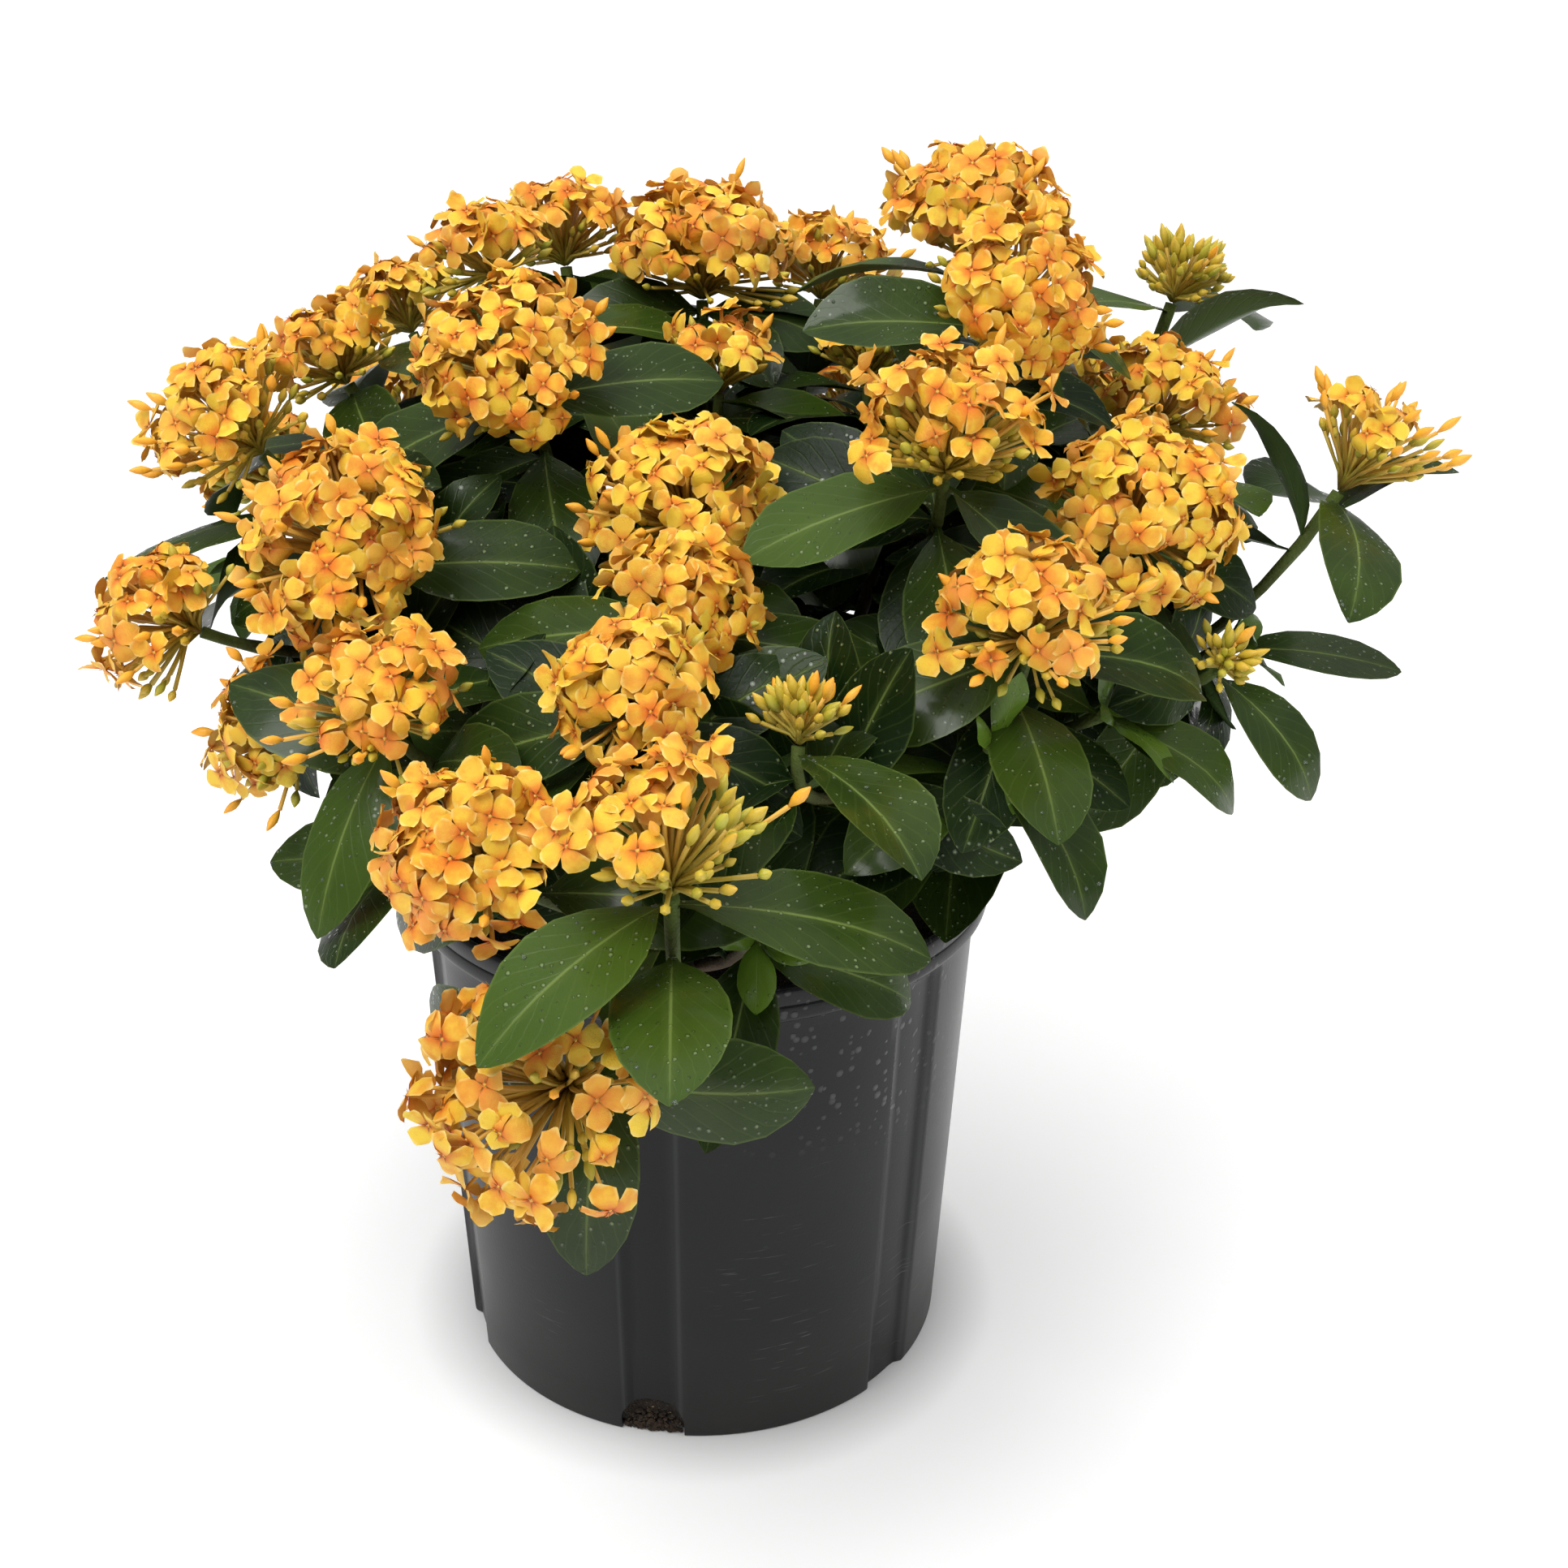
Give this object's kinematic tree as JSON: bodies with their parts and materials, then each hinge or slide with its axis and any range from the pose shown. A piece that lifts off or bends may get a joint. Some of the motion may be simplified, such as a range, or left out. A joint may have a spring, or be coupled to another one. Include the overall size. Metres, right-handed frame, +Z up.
{
  "type": "potted flowering shrub",
  "caption": "Rounded flowering shrub with glossy leaves and dense orange flower heads, in a tapered round nursery pot.",
  "frame": {"origin": "centre of the pot's flat underside", "axes": "+Z up, -Y towards the side that the picture shows, +X to its right"},
  "size_m": [0.5698, 0.642, 0.5691],
  "materials": {
    "pot": "moulded black plastic, satin",
    "soil": "loose bark and peat mix, matte",
    "leaf": "leathery green leaves on slim stems, glossy",
    "petal": "soft petals, matte"
  },
  "bodies": {
    "root": {"pot": "pot", "soil": "soil", "leafy_stem_01": "leaf", "leafy_stem_02": "leaf", "leafy_stem_03": "leaf", "leafy_stem_04": "leaf", "leafy_stem_05": "leaf", "leafy_stem_06": "leaf", "leafy_stem_07": "leaf", "leafy_stem_08": "leaf", "leafy_stem_09": "leaf", "leafy_stem_10": "leaf", "leafy_stem_11": "leaf", "leafy_stem_12": "leaf", "leafy_stem_13": "leaf", "leafy_stem_14": "leaf", "leafy_stem_15": "leaf", "leafy_stem_16": "leaf", "leafy_stem_17": "leaf", "leafy_stem_18": "leaf", "flower_head_01": "petal", "flower_head_02": "petal", "flower_head_03": "petal", "flower_head_04": "petal", "flower_head_05": "petal", "flower_head_06": "petal", "flower_head_07": "petal", "flower_head_08": "petal", "flower_head_09": "petal", "flower_head_10": "petal", "flower_head_11": "petal", "flower_head_12": "petal", "flower_head_13": "petal", "flower_head_14": "petal", "flower_head_15": "petal", "flower_head_16": "petal", "flower_head_17": "petal", "flower_head_18": "petal", "flower_head_19": "petal", "flower_head_20": "petal", "flower_head_21": "petal", "flower_head_22": "petal", "flower_head_23": "petal", "flower_head_24": "petal", "flower_head_25": "petal", "flower_head_26": "petal", "flower_head_27": "petal", "flower_head_28": "petal", "flower_head_29": "petal", "flower_head_30": "petal", "flower_head_31": "petal", "flower_head_32": "petal", "flower_head_33": "petal", "flower_head_34": "petal", "flower_head_35": "petal", "flower_head_36": "petal"}
  },
  "joints": []
}
